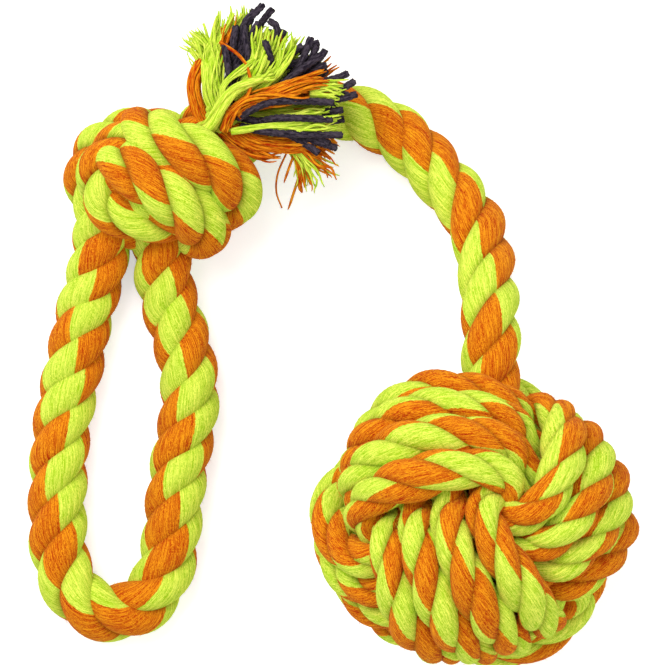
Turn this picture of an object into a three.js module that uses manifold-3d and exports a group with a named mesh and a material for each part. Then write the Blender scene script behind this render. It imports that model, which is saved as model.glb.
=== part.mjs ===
// Rope dog toy laid flat: a hand loop, a knot, a frayed tail tassel, a throwing rope and a monkey's fist ball.
// Millimetres, +Z up. The toy lies on z = 0, seen from above with +Y away from the viewer's feet.
import * as THREE from "three";
import { mergeVertices } from "three/addons/utils/BufferGeometryUtils.js";
import Module from "manifold-3d";

const wasm = await Module();
wasm.setup();

// Rope
const ROPE_DIAMETER = 18.6;
const ROPE_SIDES = 10;
const ROPE_STEP_SHARE = 0.45;
const FLOOR_CUT_SHARE = 0.1;
const REST_HEIGHT = ROPE_DIAMETER / 2 - FLOOR_CUT_SHARE * ROPE_DIAMETER;
const SEAT_GAP = 0.35;
const WELD_DISTANCE = 0.0001;

// Round fillings inside the ball and the knot
const FILLING_SIDES = 20;
const FILLING_RINGS = 12;

// Monkey's fist ball
const BALL_CENTRE_X = 46.2;
const BALL_CENTRE_Y = -58.7;
const BALL_LOOPS = 4;
const BALL_PASS_PITCH = 13;
const BALL_PASS_DIAMETER = 11.5;
const BALL_PINCH_DIAMETER = 6.2;
const BALL_OUTER_TURN_RADIUS = 46;
const BALL_INNER_TURN_RADIUS = 31.7;
const BALL_LOOP_STEPS = 24;
const BALL_TUBE_SIDES = 6;
const BALL_DRAW_IN_SHARE = 0.157;
const BALL_LEVEL_SHARE = 0.4;
const BALL_PINCH_SHARE = 0.26;
const BALL_STEP_OVER_SHARE = 1 / 6;
const BALL_SAMPLES_PER_STEP = 4;
const BALL_CORNER_LEAN = THREE.MathUtils.degToRad(16.9);
const BALL_CORNER_HEADING = THREE.MathUtils.degToRad(35.2);
const BALL_FIRST_BAND_HEADING = THREE.MathUtils.degToRad(135);
const BAND_NAMES = ["ball_band_upper_left", "ball_band_right", "ball_band_bottom"];

// Knot
const KNOT_ROPE_DIAMETER = 14;
const KNOT_ROPE_SIDES = 8;
const KNOT_HEART_LENGTH = 50;
const KNOT_HEART_WIDTH = 40;
const KNOT_HEART_HEIGHT = 42;
const KNOT_CENTRE_X = -54;
const KNOT_CENTRE_Y = 48;

// Tassel
const TASSEL_ROOT_X = -35;
const TASSEL_ROOT_Y = 69.5;
const TASSEL_ROOT_DIAMETER = 13;
const TASSEL_LAYERS = 5;
const TASSEL_LAYER_PITCH = 3.5;
const TASSEL_CLEARANCE = 2;
const TASSEL_LOWEST_LAYER_HEIGHT = REST_HEIGHT + ROPE_DIAMETER / 2 + TASSEL_CLEARANCE;
const FILLER_CORD_DIAMETER = 2.8;
const YARN_BUNCH_DIAMETER = 3;
const TASSEL_STACK = (TASSEL_LAYERS - 1) * TASSEL_LAYER_PITCH;
const TASSEL_ROOT_HEIGHT = TASSEL_STACK + YARN_BUNCH_DIAMETER;
const TASSEL_ROOT_MIDDLE = TASSEL_LOWEST_LAYER_HEIGHT + TASSEL_STACK / 2;
const YARN_BUNCH_END_SHARE = 0.8;
const TASSEL_ROOT_SIDES = 16;
const TASSEL_STRAND_SIDES = 8;
const TASSEL_STRAND_STEPS = 6;
const TASSEL_FIRST_HEADING = THREE.MathUtils.degToRad(-12);
const TASSEL_HEADING_STEP = THREE.MathUtils.degToRad(28);
const TASSEL_LAYER_TURN = THREE.MathUtils.degToRad(4);
const TASSEL_BEND = THREE.MathUtils.degToRad(12);
const TASSEL_BEND_SHARES = [-1, 0.5, -0.6, 1, -0.3];
const TASSEL_REACH = 33;

const toy = new THREE.Group();

// Materials
const finish = (colour, roughness) => new THREE.MeshStandardMaterial({ color: colour, roughness, metalness: 0 });
const COTTON_ORANGE = finish(0xe1621a, 0.9);
const COTTON_LIME = finish(0xc3ee3a, 0.9);
const FILLER_DARK = finish(0x38344a, 0.9);
const CORE_FILLING = finish(0xd8d2c4, 0.95);
const BAND_FINISHES = [COTTON_ORANGE, COTTON_LIME, COTTON_ORANGE];

// Routes of the rope stretches, points chosen by hand along the rope's middle
const HANDLE_LOOP_ROUTE = [
  [-74.6, 26.6, 10.2],
  [-75.6, 20.5, 9.2],
  [-78.6, 10.2, REST_HEIGHT],
  [-81.1, 0.0, REST_HEIGHT],
  [-82.7, -9.0, REST_HEIGHT],
  [-85.0, -19.2, REST_HEIGHT],
  [-86.9, -29.4, REST_HEIGHT],
  [-87.9, -39.7, REST_HEIGHT],
  [-88.4, -49.9, REST_HEIGHT],
  [-88.5, -60.2, REST_HEIGHT],
  [-88.0, -69.6, REST_HEIGHT],
  [-86.0, -78.1, REST_HEIGHT],
  [-81.9, -85.1, REST_HEIGHT],
  [-75.2, -89.6, REST_HEIGHT],
  [-67.6, -90.2, REST_HEIGHT],
  [-60.8, -87.0, REST_HEIGHT],
  [-55.8, -80.8, REST_HEIGHT],
  [-53.0, -73.0, REST_HEIGHT],
  [-51.7, -64.0, REST_HEIGHT],
  [-50.7, -53.8, REST_HEIGHT],
  [-49.4, -43.5, REST_HEIGHT],
  [-47.5, -33.9, REST_HEIGHT],
  [-46.0, -23.7, REST_HEIGHT],
  [-46.2, -14.1, REST_HEIGHT],
  [-47.8, -5.8, REST_HEIGHT],
  [-50.4, 3.2, REST_HEIGHT],
  [-53.0, 11.5, REST_HEIGHT],
  [-54.6, 20.0, 9.2],
  [-55.0, 26.6, 10.2],
];
const THROW_ROPE_ROUTE = [
  [-33.0, 61.0, REST_HEIGHT],
  [-27.5, 64.3, REST_HEIGHT],
  [-20.8, 67.5, REST_HEIGHT],
  [-12.6, 70.2, REST_HEIGHT],
  [-3.4, 71.6, REST_HEIGHT],
  [5.6, 70.9, REST_HEIGHT],
  [13.9, 67.8, REST_HEIGHT],
  [21.6, 62.4, REST_HEIGHT],
  [28.6, 55.4, 9.4],
  [35.4, 47.0, 12.6],
  [41.6, 38.7, 17.8],
  [46.0, 30.1, 24.6],
  [48.6, 21.1, 32.0],
  [49.8, 11.8, 39.0],
  [50.2, 3.0, 44.0],
  [50.2, -5.2, 45.8],
  [50.0, -12.7, 46.0],
];
const KNOT_ROUTES = {
  knot_front_upper: [
    [-62.5, 66.5, 31],
    [-56.0, 62.0, 36],
    [-47.0, 56.6, 38],
    [-38.5, 52.2, 35.5],
    [-32.4, 47.6, 28.5],
    [-30.4, 43.6, 18.5],
  ],
  knot_front_lower: [
    [-63.8, 50.0, 35.5],
    [-58.0, 45.6, 37.8],
    [-49.5, 39.3, 36.5],
    [-43.0, 34.0, 30.5],
    [-40.0, 31.2, 21.5],
  ],
  knot_side_outer: [
    [-52.6, 34.6, 11],
    [-64.8, 34.6, 11],
    [-73.4, 37.8, 11],
    [-77.6, 45.0, 11],
    [-78.2, 52.0, 11],
    [-75.2, 59.2, 11],
    [-68.6, 64.3, 11],
    [-61.0, 65.9, 11],
    [-53.6, 64.3, 11],
  ],
  knot_side_inner: [
    [-57.6, 37.4, 25],
    [-66.0, 37.4, 25],
    [-72.0, 42.4, 25],
    [-74.0, 49.5, 25],
    [-73.6, 57.0, 25],
  ],
};
const TAIL_ROPE_ROUTE = [
  [-47.8, 61.8, 23.8],
  [-45.4, 64.2, 24.7],
  [-43.3, 66.3, 25.5],
];

/** Turns a closed three.js geometry into a solid. */
function solidOf(geometry) {
  const bare = new THREE.BufferGeometry().setAttribute("position", geometry.getAttribute("position"));
  bare.setIndex(geometry.index);
  const merged = mergeVertices(bare, WELD_DISTANCE);
  return new wasm.Manifold(
    new wasm.Mesh({
      numProp: 3,
      vertProperties: new Float32Array(merged.attributes.position.array),
      triVerts: new Uint32Array(merged.index.array),
    }),
  );
}

/** Turns a solid back into a three.js geometry. */
function geometryOf(solid) {
  const mesh = solid.getMesh();
  const geometry = new THREE.BufferGeometry();
  geometry.setAttribute("position", new THREE.BufferAttribute(new Float32Array(mesh.vertProperties), 3));
  geometry.setIndex(new THREE.BufferAttribute(new Uint32Array(mesh.triVerts), 1));
  geometry.computeVertexNormals();
  return geometry;
}

/** Cuts away what would lie below the floor, for a piece whose own zero is at a height above it. */
function flattenedOnFloor(geometry, height = 0) {
  return geometryOf(solidOf(geometry).trimByPlane([0, 0, 1], -height));
}

/** A smooth curve through a route's points. */
function curveThrough(route) {
  return new THREE.CatmullRomCurve3(route.map((point) => new THREE.Vector3(...point)), false, "centripetal");
}

/** A round section with a number of flat sides. */
function roundSection(diameter, sides) {
  const section = new THREE.Shape();
  section.absarc(0, 0, diameter / 2, 0, 2 * Math.PI);
  return new THREE.Shape(section.getSpacedPoints(sides).slice(0, sides));
}

/** A route drawn out at both ends. */
function lengthened(route, by) {
  const points = route.map((point) => new THREE.Vector3(...point));
  const last = points.length - 1;
  const start = points[0].clone().sub(points[1]).setLength(by).add(points[0]);
  const end = points[last].clone().sub(points[last - 1]).setLength(by).add(points[last]);
  return [start, ...points, end].map((point) => point.toArray());
}

/** The room that a rope takes in what presses against it, with the seat gap all round. */
function roomFor(route, diameter, sides) {
  return solidOf(ropeAlong(lengthened(route, SEAT_GAP), diameter + 2 * SEAT_GAP, sides));
}

/** A faceted rope of one diameter along a route. */
function ropeAlong(route, diameter, sides) {
  const curve = curveThrough(route);
  const steps = Math.ceil(curve.getLength() / (ROPE_STEP_SHARE * diameter));
  return new THREE.ExtrudeGeometry(roundSection(diameter, sides), { steps, extrudePath: curve });
}

/** A closed tube through ring centres, with a radius at each ring and a direction that is up there. */
function tubeThrough(centres, radii, ups, sides) {
  const corners = [];
  const faces = [];
  const last = centres.length - 1;
  centres.forEach((centre, ring) => {
    const before = centres[Math.max(ring - 1, 0)];
    const after = centres[Math.min(ring + 1, last)];
    const along = after.clone().sub(before).normalize();
    const side = along.clone().cross(ups[ring]).normalize();
    const top = side.clone().cross(along);
    for (let k = 0; k < sides; k++) {
      const turn = ((k + 0.5) / sides) * 2 * Math.PI;
      const out = side.clone().multiplyScalar(Math.cos(turn)).addScaledVector(top, Math.sin(turn));
      corners.push(...centre.clone().addScaledVector(out, radii[ring]));
    }
  });
  for (let ring = 0; ring < last; ring++) {
    for (let k = 0; k < sides; k++) {
      const here = ring * sides + k;
      const next = ring * sides + ((k + 1) % sides);
      faces.push(here, here + sides, next, next, here + sides, next + sides);
    }
  }
  for (let k = 1; k < sides - 1; k++) {
    faces.push(0, k, k + 1);
    faces.push(last * sides, last * sides + k + 1, last * sides + k);
  }
  const geometry = new THREE.BufferGeometry();
  geometry.setAttribute("position", new THREE.BufferAttribute(new Float32Array(corners), 3));
  geometry.setIndex(faces);
  geometry.computeVertexNormals();
  return geometry;
}

/** Rises smoothly from 0 to 1. */
function easedStep(x) {
  const held = THREE.MathUtils.clamp(x, 0, 1);
  return held * held * (3 - 2 * held);
}

/** The three directions in which the ball's bands stand proud, each square to the others. */
function bandDirections() {
  const corner = new THREE.Vector3(0, 0, 1)
    .applyAxisAngle(new THREE.Vector3(0, 1, 0), BALL_CORNER_LEAN)
    .applyAxisAngle(new THREE.Vector3(0, 0, 1), BALL_CORNER_HEADING);
  const right = new THREE.Vector3(1, 0, 0).addScaledVector(corner, -corner.x).normalize();
  const away = corner.clone().cross(right);
  const share = 1 / Math.sqrt(3);
  return [0, 1, 2].map((band) => {
    const heading = BALL_FIRST_BAND_HEADING - (band * 2 * Math.PI) / 3;
    const outward = right.clone().multiplyScalar(Math.cos(heading)).addScaledVector(away, Math.sin(heading));
    return corner.clone().multiplyScalar(share).addScaledVector(outward, share * Math.SQRT2);
  });
}

/** One band of the monkey's fist: its loops as one unbroken run of ring centres and radii. */
function bandWinding(proud, sunk, across) {
  const middle = (BALL_OUTER_TURN_RADIUS + BALL_INNER_TURN_RADIUS) / 2;
  const swing = (BALL_OUTER_TURN_RADIUS - BALL_INNER_TURN_RADIUS) / 2;
  const pinch = (BALL_PASS_DIAMETER - BALL_PINCH_DIAMETER) / 2;
  const first = BALL_STEP_OVER_SHARE / 2;
  const last = BALL_LOOPS - BALL_STEP_OVER_SHARE / 2;
  const steps = Math.round((last - first) * BALL_LOOP_STEPS);
  const centres = [];
  const radii = [];
  for (let step = 0; step <= steps; step++) {
    const loop = first + ((last - first) * step) / steps;
    const angle = Math.PI / 2 + 2 * Math.PI * loop;
    const whole = Math.round(loop);
    const passed = whole - 1 + easedStep((loop - whole) / BALL_STEP_OVER_SHARE + 0.5);
    const place = THREE.MathUtils.clamp(passed, 0, BALL_LOOPS - 1);
    const corner = (1 - Math.cos(4 * angle)) / 2;
    const level = Math.cos(2 * angle);
    const turnRadius = middle + swing * Math.sign(level) * Math.abs(level) ** BALL_LEVEL_SHARE;
    const offset = ((BALL_LOOPS - 1) / 2 - place) * BALL_PASS_PITCH * (1 - BALL_DRAW_IN_SHARE * corner);
    const reach = Math.sqrt(turnRadius ** 2 - offset ** 2);
    centres.push(
      proud
        .clone()
        .multiplyScalar(reach * Math.cos(angle))
        .addScaledVector(sunk, reach * Math.sin(angle))
        .addScaledVector(across, offset),
    );
    radii.push(BALL_PASS_DIAMETER / 2 - pinch * corner ** BALL_PINCH_SHARE);
  }
  return { centres, radii };
}

/** Adds points between the rings, for measuring. */
function finelySampled({ centres, radii }) {
  const samples = [];
  for (let ring = 0; ring < centres.length - 1; ring++) {
    for (let part = 0; part < BALL_SAMPLES_PER_STEP; part++) {
      const share = part / BALL_SAMPLES_PER_STEP;
      const centre = centres[ring].clone().lerp(centres[ring + 1], share);
      const radius = THREE.MathUtils.lerp(radii[ring], radii[ring + 1], share);
      samples.push({ centre, radius, ring: ring + share });
    }
  }
  return samples;
}

/** The least gap of a winding to itself or to another one, measured on points of both. */
function leastGap(one, other) {
  const nearRings = BALL_LOOP_STEPS / 4;
  let least = Infinity;
  for (const a of finelySampled(one)) {
    for (const b of finelySampled(other)) {
      if (one === other && Math.abs(a.ring - b.ring) < nearRings) continue;
      least = Math.min(least, a.centre.distanceTo(b.centre) - a.radius - b.radius);
    }
  }
  return least;
}

/** A group of pieces, placed on the toy. */
function addGroup(x, y, z) {
  const group = new THREE.Group();
  group.position.set(x, y, z);
  toy.add(group);
  return group;
}

/** Puts one named piece in a group. */
function addPiece(group, name, geometry, material) {
  const mesh = new THREE.Mesh(geometry, material);
  mesh.name = name;
  group.add(mesh);
  return mesh;
}

/** The monkey's fist: three windings over a round core, resting on a small flat. */
function buildBall() {
  const directions = bandDirections();
  const windings = directions.map((proud, band) =>
    bandWinding(proud, directions[(band + 1) % 3], directions[(band + 2) % 3]),
  );
  windings.forEach((winding, band) => {
    const next = windings[(band + 1) % windings.length];
    console.log(BAND_NAMES[band] + " least gap to itself " + leastGap(winding, winding).toFixed(2) + " mm");
    console.log(BAND_NAMES[band] + " least gap to the next band " + leastGap(winding, next).toFixed(2) + " mm");
  });
  const tubes = windings.map(({ centres, radii }) =>
    tubeThrough(centres, radii, centres.map((centre) => centre.clone().normalize()), BALL_TUBE_SIDES),
  );
  const lowest = Math.min(
    ...tubes.map((tube) => {
      tube.computeBoundingBox();
      return tube.boundingBox.min.z;
    }),
  );
  const height = -lowest - FLOOR_CUT_SHARE * BALL_PASS_DIAMETER;
  const ball = addGroup(BALL_CENTRE_X, BALL_CENTRE_Y, height);
  tubes.forEach((tube, band) => {
    addPiece(ball, BAND_NAMES[band], flattenedOnFloor(tube, height), BAND_FINISHES[band]);
  });
  const coreRadius = BALL_INNER_TURN_RADIUS - BALL_PASS_DIAMETER / 2 - SEAT_GAP;
  const core = new THREE.SphereGeometry(coreRadius, FILLING_SIDES, FILLING_RINGS);
  addPiece(ball, "ball_core", core, CORE_FILLING);
}

/** The hand loop and the throwing rope, each one free stretch of rope. */
function buildFreeRopes() {
  const loop = ropeAlong(HANDLE_LOOP_ROUTE, ROPE_DIAMETER, ROPE_SIDES);
  addPiece(toy, "handle_loop", flattenedOnFloor(loop), COTTON_ORANGE);
  const throwing = ropeAlong(THROW_ROPE_ROUTE, ROPE_DIAMETER, ROPE_SIDES);
  addPiece(toy, "throw_rope", flattenedOnFloor(throwing), COTTON_LIME);
}

/** The knot's passes that show, and the rope pressed together beneath them. */
function buildKnot() {
  const room = [
    roomFor(THROW_ROPE_ROUTE, ROPE_DIAMETER, ROPE_SIDES),
    roomFor(HANDLE_LOOP_ROUTE, ROPE_DIAMETER, ROPE_SIDES),
    roomFor(TAIL_ROPE_ROUTE, KNOT_ROPE_DIAMETER, KNOT_ROPE_SIDES),
  ];
  Object.entries(KNOT_ROUTES).forEach(([name, route], place) => {
    addPiece(
      toy,
      name,
      ropeAlong(route, KNOT_ROPE_DIAMETER, KNOT_ROPE_SIDES),
      place % 2 ? COTTON_ORANGE : COTTON_LIME,
    );
    room.push(roomFor(route, KNOT_ROPE_DIAMETER, KNOT_ROPE_SIDES));
  });
  const heart = new THREE.SphereGeometry(1, FILLING_SIDES, FILLING_RINGS);
  heart.rotateX(Math.PI / 2);
  heart.scale(KNOT_HEART_LENGTH / 2, KNOT_HEART_WIDTH / 2, KNOT_HEART_HEIGHT / 2);
  heart.translate(KNOT_CENTRE_X, KNOT_CENTRE_Y, KNOT_HEART_HEIGHT / 2 - FLOOR_CUT_SHARE * KNOT_ROPE_DIAMETER);
  room.push(solidOf(tasselRoot(SEAT_GAP).translate(TASSEL_ROOT_X, TASSEL_ROOT_Y, 0)));
  const tail = ropeAlong(TAIL_ROPE_ROUTE, KNOT_ROPE_DIAMETER, KNOT_ROPE_SIDES);
  addPiece(toy, "tail_rope", tail, COTTON_LIME);
  const pressed = solidOf(flattenedOnFloor(heart)).subtract(wasm.Manifold.union(room));
  addPiece(toy, "knot_heart", geometryOf(pressed), CORE_FILLING);
}

/** What each strand of the tassel is, from the right round to the left, layer by layer from the floor up. */
const STRAND_KINDS = [
  ["orange", "lime", "lime", "lime", "orange"],
  ["dark", "orange", "dark", "lime", "lime"],
  ["orange", "dark", "dark", "dark", "lime"],
  ["lime", "dark", "orange", "dark", "lime"],
  ["dark", "orange", "dark", "dark", "lime"],
];
const STRAND_REACH_SHARES = [
  [0.9, 1.0, 0.95, 0.8, 0.62],
  [0.96, 1.03, 0.8, 0.9, 0.7],
  [0.98, 1.02, 0.95, 0.92, 0.6],
  [0.92, 0.96, 0.72, 0.6, 0.66],
  [0.86, 0.94, 0.8, 0.74, 0.55],
];
const STRAND_FINISHES = { orange: COTTON_ORANGE, lime: COTTON_LIME, dark: FILLER_DARK };
const STRAND_NAMES = { orange: "orange_yarn", lime: "lime_yarn", dark: "filler_cord" };

/** The bound end that the tassel's strands come out of, grown by a gap all round. */
function tasselRoot(gap) {
  const radius = TASSEL_ROOT_DIAMETER / 2 + gap;
  const root = new THREE.CylinderGeometry(radius, radius, TASSEL_ROOT_HEIGHT + 2 * gap, TASSEL_ROOT_SIDES);
  root.rotateX(Math.PI / 2);
  root.translate(0, 0, TASSEL_ROOT_MIDDLE);
  return root;
}

/** One strand that runs out of the root along +X and bends to one side. */
function tasselStrand(kind, reachShare, bend) {
  const dark = kind === "dark";
  const diameter = dark ? FILLER_CORD_DIAMETER : YARN_BUNCH_DIAMETER;
  const endShare = dark ? 1 : YARN_BUNCH_END_SHARE;
  const near = TASSEL_ROOT_DIAMETER / 2 + SEAT_GAP;
  const centres = [];
  const radii = [];
  for (let step = 0; step <= TASSEL_STRAND_STEPS; step++) {
    const share = step / TASSEL_STRAND_STEPS;
    const reach = near + TASSEL_REACH * reachShare * share;
    const turned = bend * share ** 2;
    centres.push(new THREE.Vector3(reach * Math.cos(turned), reach * Math.sin(turned), 0));
    radii.push((diameter / 2) * THREE.MathUtils.lerp(1, endShare, share));
  }
  const ups = centres.map(() => new THREE.Vector3(0, 0, 1));
  return tubeThrough(centres, radii, ups, TASSEL_STRAND_SIDES);
}

/** The unlaid tail: filler cords and bunches of yarn that fan out of the tail's cut end. */
function buildTassel() {
  const tassel = addGroup(TASSEL_ROOT_X, TASSEL_ROOT_Y, 0);
  addPiece(tassel, "tassel_root", tasselRoot(0), COTTON_LIME);
  STRAND_KINDS.forEach((kinds, layer) => {
    kinds.forEach((kind, place) => {
      const bend = TASSEL_BEND * TASSEL_BEND_SHARES[layer];
      const strand = tasselStrand(kind, STRAND_REACH_SHARES[layer][place], bend);
      const name = STRAND_NAMES[kind] + "_" + (layer + 1) + "_" + (place + 1);
      const piece = addPiece(tassel, name, strand, STRAND_FINISHES[kind]);
      piece.position.z = TASSEL_LOWEST_LAYER_HEIGHT + layer * TASSEL_LAYER_PITCH;
      piece.rotation.z = TASSEL_FIRST_HEADING + place * TASSEL_HEADING_STEP + (layer % 2) * TASSEL_LAYER_TURN;
    });
  });
}

buildFreeRopes();
buildKnot();
buildBall();
buildTassel();

export default toy;
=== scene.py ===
"""Dresses the rope dog toy: a hand loop, a knot, a frayed tassel, a throwing rope and a woven ball."""

import logging
import math
from dataclasses import dataclass, field
from enum import Enum

import bpy
import numpy as np
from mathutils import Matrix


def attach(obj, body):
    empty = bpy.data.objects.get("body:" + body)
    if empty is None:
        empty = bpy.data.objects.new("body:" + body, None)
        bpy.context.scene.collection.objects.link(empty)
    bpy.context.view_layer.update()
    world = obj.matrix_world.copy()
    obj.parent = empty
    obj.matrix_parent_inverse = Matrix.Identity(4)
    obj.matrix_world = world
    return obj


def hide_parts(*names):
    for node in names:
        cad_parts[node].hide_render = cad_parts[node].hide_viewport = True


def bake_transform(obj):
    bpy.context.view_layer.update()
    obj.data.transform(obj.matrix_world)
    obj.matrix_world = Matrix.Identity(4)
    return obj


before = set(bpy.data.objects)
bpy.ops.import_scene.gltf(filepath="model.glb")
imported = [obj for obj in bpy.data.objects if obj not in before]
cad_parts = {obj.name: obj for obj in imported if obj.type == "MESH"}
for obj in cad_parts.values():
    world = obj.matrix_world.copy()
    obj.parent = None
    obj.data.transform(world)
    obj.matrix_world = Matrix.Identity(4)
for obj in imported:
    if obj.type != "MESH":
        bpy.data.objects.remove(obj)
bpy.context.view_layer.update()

log = logging.getLogger("rope_toy")

Point = tuple[float, float, float]
Route = tuple[Point, ...]
Socket = bpy.types.NodeSocket

ROPE_DIAMETER = 0.0186
REST_HEIGHT = 0.00744
YARN_SPACING = 0.0012
YARN_SIDES = 6
FIBRE_SIDES = 3
YARN_TAPER_SHARES = (0.9, 0.75, 0.4)
FIBRE_TAPER_SHARES = (1.0, 0.9, 0.7, 0.35)
YARN_ATTRIBUTE = "yarn"
# Read by the materials to paint shade into the creases of each rope.
PROUD_ATTRIBUTE = "proud"
FIBRES = "Cotton fibres"
WHITE = (1, 1, 1, 1)
WHOLE_TURN = 2 * math.pi


def unit(vectors: np.ndarray) -> np.ndarray:
    """Scales one vector, or rows of them, to a length of one."""
    return vectors / np.linalg.norm(vectors, axis=-1, keepdims=True)


def resting(*places: tuple[float, float]) -> Route:
    """Gives the points of a rope that lies on the floor at some places."""
    return tuple((*place, REST_HEIGHT) for place in places)


def travelled(line: np.ndarray) -> np.ndarray:
    """Measures how far along a line each of its points is."""
    return np.concatenate([[0.0], np.cumsum(np.linalg.norm(np.diff(line, axis=0), axis=1))])


def rounded_line(chosen: Route, samples: int = 24) -> np.ndarray:
    """Draws a smooth line through given points.

    Args:
        chosen: The points, in order.
        samples: How many points the line has between two chosen ones.

    Returns:
        The points of the smooth line.
    """
    points = np.array(chosen)
    padded = np.vstack([2 * points[0] - points[1], points, 2 * points[-1] - points[-2]])
    share = np.linspace(0, 1, samples, endpoint=False)[:, None]
    runs = []
    for before, start, end, after in zip(padded, padded[1:], padded[2:], padded[3:]):
        runs.append(
            start
            + share * (end - before) / 2
            + share**2 * (2 * before - 5 * start + 4 * end - after) / 2
            + share**3 * (3 * start - before - 3 * end + after) / 2
        )
    return np.vstack(runs + [points[-1:]])


def evenly(line: np.ndarray, spacing: float) -> np.ndarray:
    """Spaces a line's points evenly.

    Args:
        line: The points of the line.
        spacing: About how far apart the new points are.

    Returns:
        The new points.
    """
    along = travelled(line)
    count = max(int(round(along[-1] / spacing)), 2)
    places = np.linspace(0, along[-1], count + 1)
    return np.column_stack([np.interp(places, along, line[:, axis]) for axis in range(3)])


def eased(line: np.ndarray, times: int) -> np.ndarray:
    """Eases the sharp turns of a line.

    Args:
        line: The points of the line.
        times: How many times each point moves towards its neighbours.

    Returns:
        The eased points, with the ends kept.
    """
    soft = line.copy()
    for _ in range(times):
        soft[1:-1] = (soft[:-2] + 2 * soft[1:-1] + soft[2:]) / 4
    return soft


def carried_frames(line: np.ndarray) -> tuple[np.ndarray, np.ndarray]:
    """Carries a pair of side directions along a line without twisting them.

    Args:
        line: The points of the line.

    Returns:
        The first side and the second side, at each point.
    """
    upright_share = 0.9
    along = unit(np.gradient(line, axis=0))
    side = np.eye(3)[2 if abs(along[0][2]) < upright_share else 0]
    sides = []
    for direction in along:
        side = unit(side - direction * (side @ direction))
        sides.append(side)
    first = np.array(sides)
    return first, np.cross(along, first)


def spokes(first: np.ndarray, second: np.ndarray, turns: np.ndarray) -> np.ndarray:
    """Finds the outward direction of each corner of the rings round a line.

    Args:
        first: One side direction at each point of the line.
        second: The other side direction at each point.
        turns: The angle of each corner of a ring.

    Returns:
        The directions, ring by ring.
    """
    return np.cos(turns)[:, None] * first[:, None] + np.sin(turns)[:, None] * second[:, None]


def strand_places(turns: np.ndarray, radii: np.ndarray, along: np.ndarray) -> np.ndarray:
    """Finds where the corners of a tube lie in its untwisted strand.

    Args:
        turns: The angle of each corner, ring by ring.
        radii: The radius of each ring.
        along: How far along the strand each ring is.

    Returns:
        The strand coordinates, ring by ring.
    """
    across = np.cos(turns) * radii[:, None]
    return np.stack([across, np.sin(turns) * radii[:, None], along[:, None] + 0 * across], axis=-1)


@dataclass
class Shell:
    """Gathers closed tubes into one mesh.

    Attributes:
        points: The corners so far, one array for each tube.
        yarns: Where each corner lies in its untwisted strand.
        prouds: How far each corner stands out of the crease beside it, from 0 to 1; the materials paint
            shade into the creases by it.
        faces: The faces so far, as lists of corner numbers.
        count: How many corners there are.
    """

    points: list[np.ndarray] = field(default_factory=list)
    yarns: list[np.ndarray] = field(default_factory=list)
    prouds: list[np.ndarray] = field(default_factory=list)
    faces: list[list[int]] = field(default_factory=list)
    count: int = 0

    def add_tube(self, rings: np.ndarray, yarn: np.ndarray, proud: np.ndarray) -> None:
        """Adds one tube with closed ends.

        Args:
            rings: Its corners, ring by ring.
            yarn: The strand coordinates of each corner.
            proud: How proud each corner is, which sets the painted shade in the creases.
        """
        ring_count, sides = rings.shape[:2]
        here = self.count + np.arange(ring_count * sides).reshape(ring_count, sides)
        ahead = np.roll(here, -1, axis=1)
        quads = np.stack([here[:-1], ahead[:-1], ahead[1:], here[1:]], axis=-1).reshape(-1, 4)
        self.faces += [*quads.tolist(), here[0][::-1].tolist(), here[-1].tolist()]
        self.points.append(rings.reshape(-1, 3))
        self.yarns.append(yarn.reshape(-1, 3))
        self.prouds.append(proud.reshape(-1))
        self.count += ring_count * sides

    def add_yarn(self, line: np.ndarray, radii: np.ndarray, yarn_start: float) -> None:
        """Adds a round tube along a line, such as one yarn.

        Args:
            line: The middle of the tube.
            radii: Its radius at each point.
            yarn_start: Where its strand coordinate starts, so that no two yarns look alike.
        """
        turns = np.linspace(0, WHOLE_TURN, YARN_SIDES, endpoint=False)
        rings = line[:, None] + spokes(*carried_frames(line), turns) * radii[:, None, None]
        yarn = strand_places(turns, radii, travelled(line) + yarn_start)
        self.add_tube(rings, yarn, np.ones(rings.shape[:2]))

    def build(self, name: str, material: bpy.types.Material) -> bpy.types.Object:
        """Makes the mesh object, pressed flat where it lies on the floor.

        Args:
            name: The piece's name.
            material: Its finish.

        Returns:
            The object, linked to the scene.
        """
        mesh = bpy.data.meshes.new(name)
        points = np.vstack(self.points)
        points[:, 2] = np.maximum(points[:, 2], 0.0)
        mesh.from_pydata(points.tolist(), [], self.faces)
        yarn = mesh.attributes.new(YARN_ATTRIBUTE, "FLOAT_VECTOR", "POINT")
        yarn.data.foreach_set("vector", np.vstack(self.yarns).astype(np.float32).ravel())
        proud = mesh.attributes.new(PROUD_ATTRIBUTE, "FLOAT", "POINT")
        proud.data.foreach_set("value", np.concatenate(self.prouds).astype(np.float32))
        mesh.shade_smooth()
        mesh.materials.append(material)
        piece = bpy.data.objects.new(name, mesh)
        bpy.context.scene.collection.objects.link(piece)
        log.info("%s: %d faces", name, len(self.faces))
        return piece


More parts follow.
